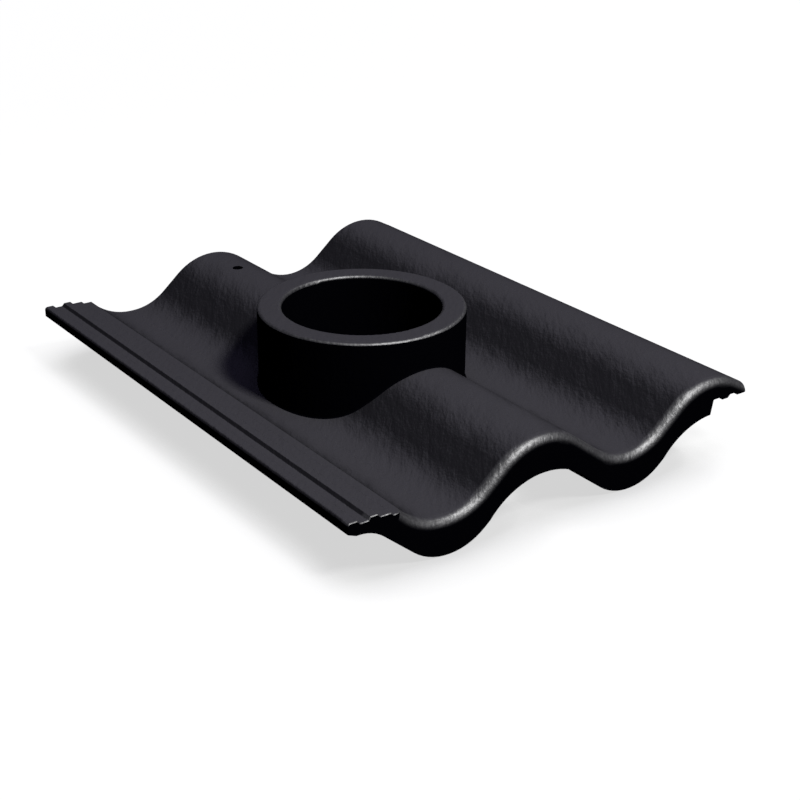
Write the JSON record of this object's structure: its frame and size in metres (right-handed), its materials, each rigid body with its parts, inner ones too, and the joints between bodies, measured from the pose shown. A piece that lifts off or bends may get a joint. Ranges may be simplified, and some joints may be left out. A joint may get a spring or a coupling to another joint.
{
  "type": "roof penetration tile",
  "caption": "Double-S concrete roof tile with side lock and rounded nose, and a round collar cast through one wave that lets a vent pipe pass through the roof.",
  "frame": {"origin": "middle of the tile's width and length, at the level of the foot of the nose and of the nibs", "axes": "+X across the roof to the lip side, +Y from the nose up to the head, +Z out of the roof along the collar"},
  "size_m": [0.334, 0.42, 0.0846],
  "materials": {
    "dark_concrete": "matt coated concrete, through-coloured near black, slightly granular"
  },
  "bodies": {
    "root": {"penetration_tile": "dark_concrete"}
  },
  "joints": []
}
